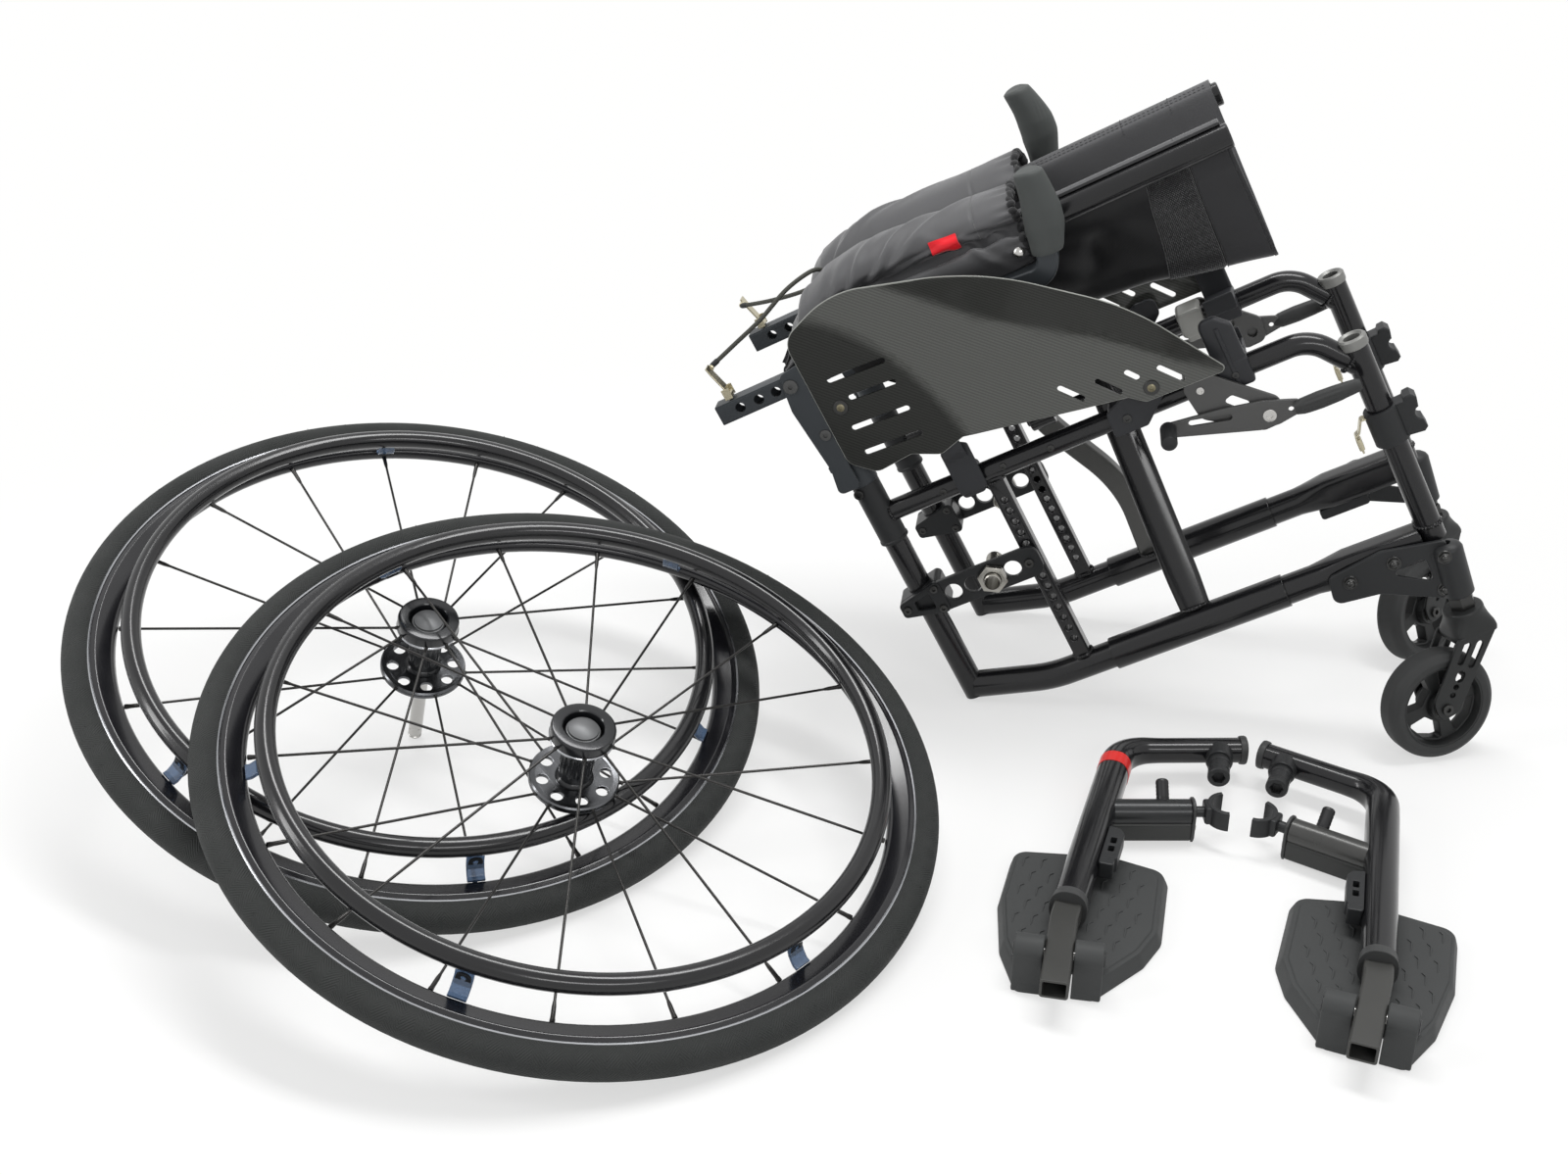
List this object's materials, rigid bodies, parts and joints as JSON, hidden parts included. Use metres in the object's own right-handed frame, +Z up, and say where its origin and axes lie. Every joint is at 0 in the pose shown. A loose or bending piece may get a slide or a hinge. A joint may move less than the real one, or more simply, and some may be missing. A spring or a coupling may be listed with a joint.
{
  "type": "active wheelchair",
  "caption": "Folding active wheelchair, folded together, with its quick-release rear wheels and swing-away leg rests taken off and laid on the floor beside it.",
  "frame": {"origin": "on the floor under the middle of the whole layout", "axes": "+X along the layout, from the rear wheels to the castors; +Y away from the leg rests, towards the far side frame; +Z up"},
  "size_m": [1.256, 0.7645, 0.5445],
  "materials": {
    "frame_black": "gloss black",
    "trim_black": "satin black",
    "zinc": "plated",
    "steel": "bright",
    "tyre": "matt black",
    "castor_tyre": "matt black",
    "grip": "matt grey",
    "upholstery": "woven black",
    "sling": "coated black",
    "cord": "braided black",
    "guard": "carbon weave",
    "plastic": "textured dark grey",
    "alloy": "satin grey"
  },
  "bodies": {
    "right_frame": {"right_side_frame": "frame_black", "right_axle_plate": "frame_black", "right_axle_sleeve": "zinc", "right_castor_housing": "frame_black", "right_front_tube": "trim_black", "right_rail_cradle": "trim_black", "right_brake_clamp": "trim_black", "right_side_guard": "guard", "right_back_bracket": "frame_black", "right_guard_mount": "trim_black"},
    "arm_straight": {"cross_arm_straight": "frame_black", "seat_sling": "sling"},
    "arm_curved": {"cross_arm_curved": "frame_black"},
    "left_frame": {"left_side_frame": "frame_black", "left_axle_plate": "frame_black", "left_axle_sleeve": "zinc", "left_castor_housing": "frame_black", "left_front_tube": "trim_black", "left_rail_cradle": "trim_black", "left_brake_clamp": "trim_black", "left_side_guard": "guard", "left_back_bracket": "frame_black", "left_guard_mount": "trim_black"},
    "right_back": {"right_back_cane": "frame_black", "right_push_grip": "grip", "back_upholstery": "upholstery", "release_cord": "cord"},
    "left_back": {"left_back_cane": "frame_black", "left_push_grip": "grip"},
    "right_release": {"right_release_lever": "zinc"},
    "right_brake": {"right_brake_lever": "trim_black"},
    "right_castor_fork": {"right_castor_fork": "trim_black"},
    "right_castor_wheel": {"right_castor_rim": "trim_black", "right_castor_tyre": "castor_tyre"},
    "left_release": {"left_release_lever": "zinc"},
    "left_brake": {"left_brake_lever": "trim_black"},
    "left_castor_fork": {"left_castor_fork": "trim_black"},
    "left_castor_wheel": {"left_castor_rim": "trim_black", "left_castor_tyre": "castor_tyre"},
    "wheel_a": {"wheel_a_tyre": "tyre", "wheel_a_rim": "frame_black", "wheel_a_handrim": "trim_black", "wheel_a_hub_spokes": "trim_black"},
    "wheel_a_axle": {"wheel_a_axle": "steel"},
    "wheel_a_button": {"wheel_a_axle_button": "alloy"},
    "wheel_b": {"wheel_b_tyre": "tyre", "wheel_b_rim": "frame_black", "wheel_b_handrim": "trim_black", "wheel_b_hub_spokes": "trim_black"},
    "wheel_b_axle": {"wheel_b_axle": "steel"},
    "wheel_b_button": {"wheel_b_axle_button": "alloy"},
    "right_hanger": {"right_hanger_tube": "frame_black"},
    "right_latch": {"right_hanger_latch": "trim_black"},
    "right_leg": {"right_leg_tube": "trim_black"},
    "right_footplate": {"right_footplate": "plastic"},
    "left_hanger": {"left_hanger_tube": "frame_black"},
    "left_latch": {"left_hanger_latch": "trim_black"},
    "left_leg": {"left_leg_tube": "trim_black"},
    "left_footplate": {"left_footplate": "plastic"}
  },
  "joints": [
    {"name": "unfold", "type": "hinge", "parent": "right_frame", "child": "arm_straight", "pos_m": [0.34602, 0.13658, 0.09633], "axis": [-0.8753, 0.1277, -0.4664], "range_deg": [0, 34.95], "deforming": ["seat_sling", "back_upholstery", "release_cord"]},
    {"name": "cross_pivot", "type": "hinge", "parent": "arm_straight", "child": "arm_curved", "pos_m": [0.23963, 0.23496, 0.27148], "axis": [-0.8753, 0.1277, -0.4664], "range_deg": [-69.9, 0]},
    {"name": "left_frame_pivot", "type": "hinge", "parent": "arm_curved", "child": "left_frame", "pos_m": [0.36969, 0.29886, 0.09633], "axis": [-0.8753, 0.1277, -0.4664], "range_deg": [0, 34.95]},
    {"name": "right_back_fold", "type": "hinge", "parent": "right_frame", "child": "right_back", "pos_m": [-0.02204, 0.17966, 0.31004], "axis": [-0.1444, -0.9895, 0], "range_deg": [0, 95]},
    {"name": "right_release_turn", "type": "hinge", "parent": "right_back", "child": "right_release", "pos_m": [-0.07697, 0.18767, 0.29524], "axis": [0.1444, 0.9895, 0], "range_deg": [0, 15], "stiffness_Nm_per_rad": 0.08, "springref_deg": -5.73, "deforming": ["release_cord"]},
    {"name": "right_brake_turn", "type": "hinge", "parent": "right_frame", "child": "right_brake", "pos_m": [0.37704, 0.11184, 0.30794], "axis": [-0.1444, -0.9895, 0], "range_deg": [0, 28]},
    {"name": "right_castor_swivel", "type": "hinge", "parent": "right_frame", "child": "right_castor_fork", "pos_m": [0.55603, 0.09179, 0.14912], "axis": [-0.3707, 0.0541, 0.9272], "continuous": true},
    {"name": "right_castor_spin", "type": "hinge", "parent": "right_castor_fork", "child": "right_castor_wheel", "pos_m": [0.54606, 0.0739, 0.04965], "axis": [0.2335, -0.9608, 0.1494], "continuous": true},
    {"name": "left_back_fold", "type": "hinge", "parent": "left_frame", "child": "left_back", "pos_m": [0.00466, 0.36272, 0.31004], "axis": [-0.1444, -0.9895, 0], "range_deg": [0, 95]},
    {"name": "left_release_turn", "type": "hinge", "parent": "left_back", "child": "left_release", "pos_m": [-0.05026, 0.37073, 0.29524], "axis": [0.1444, 0.9895, 0], "range_deg": [0, 15], "stiffness_Nm_per_rad": 0.08, "springref_deg": -5.73, "deforming": ["release_cord"]},
    {"name": "left_brake_turn", "type": "hinge", "parent": "left_frame", "child": "left_brake", "pos_m": [0.40648, 0.3137, 0.30794], "axis": [-0.1444, -0.9895, 0], "range_deg": [0, 28]},
    {"name": "left_castor_swivel", "type": "hinge", "parent": "left_frame", "child": "left_castor_fork", "pos_m": [0.58552, 0.28152, 0.14467], "axis": [-0.3707, 0.0541, 0.9272], "continuous": true},
    {"name": "left_castor_spin", "type": "hinge", "parent": "left_castor_fork", "child": "left_castor_wheel", "pos_m": [0.58266, 0.24764, 0.04897], "axis": [0.5467, -0.7943, 0.2649], "continuous": true},
    {"name": "wheel_a_lift", "type": "slide", "parent": "right_frame", "child": "wheel_a", "axis": [0, 0, 1], "range_m": [0, 0.12]},
    {"name": "wheel_a_spin", "type": "hinge", "parent": "wheel_a", "child": "wheel_a_axle", "pos_m": [-0.3397, 0.0649, 0.10863], "axis": [0.2107, -0.2672, 0.9403], "continuous": true},
    {"name": "wheel_a_button_press", "type": "slide", "parent": "wheel_a_axle", "child": "wheel_a_button", "axis": [-0.2107, 0.2672, -0.9403], "range_m": [0, 0.003], "stiffness_N_per_m": 600, "springref_m": -0.002},
    {"name": "wheel_b_lift", "type": "slide", "parent": "wheel_a", "child": "wheel_b", "axis": [0, 0, 1], "range_m": [0, 0.12]},
    {"name": "wheel_b_spin", "type": "hinge", "parent": "wheel_b", "child": "wheel_b_axle", "pos_m": [-0.1931, -0.095, 0.09853], "axis": [0.204, -0.2261, 0.9525], "continuous": true},
    {"name": "wheel_b_button_press", "type": "slide", "parent": "wheel_b_axle", "child": "wheel_b_button", "axis": [-0.204, 0.2261, -0.9525], "range_m": [0, 0.003], "stiffness_N_per_m": 600, "springref_m": -0.002},
    {"name": "right_hanger_lift", "type": "slide", "parent": "right_frame", "child": "right_hanger", "axis": [0, 0, 1], "range_m": [0, 0.12]},
    {"name": "right_latch_slide", "type": "slide", "parent": "right_hanger", "child": "right_latch", "axis": [0.8191, -0.5736, 0], "range_m": [0, 0.006], "stiffness_N_per_m": 300, "springref_m": -0.003},
    {"name": "right_leg_slide", "type": "slide", "parent": "right_hanger", "child": "right_leg", "axis": [-0.284, -0.9588, 0], "range_m": [-0.01, 0.04]},
    {"name": "right_footplate_flip", "type": "hinge", "parent": "right_leg", "child": "right_footplate", "pos_m": [0.3845, -0.31769, 0.028], "axis": [-0.9239, 0.3827, 0], "range_deg": [0, 85]},
    {"name": "left_hanger_lift", "type": "slide", "parent": "right_frame", "child": "left_hanger", "axis": [0, 0, 1], "range_m": [0, 0.12]},
    {"name": "left_latch_slide", "type": "slide", "parent": "left_hanger", "child": "left_latch", "axis": [-1, 0, 0], "range_m": [0, 0.006], "stiffness_N_per_m": 300, "springref_m": -0.003},
    {"name": "left_leg_slide", "type": "slide", "parent": "left_hanger", "child": "left_leg", "axis": [-0.3173, -0.9483, 0], "range_m": [-0.01, 0.04]},
    {"name": "left_footplate_flip", "type": "hinge", "parent": "left_leg", "child": "left_footplate", "pos_m": [0.1735, -0.24903, 0.028], "axis": [-0.9763, 0.2164, 0], "range_deg": [0, 85]}
  ],
  "couplings": [
    {"joint": "cross_pivot", "follows": "unfold", "ratio": -2},
    {"joint": "left_frame_pivot", "follows": "unfold", "ratio": 1},
    {"joint": "left_back_fold", "follows": "right_back_fold", "ratio": 1}
  ]
}
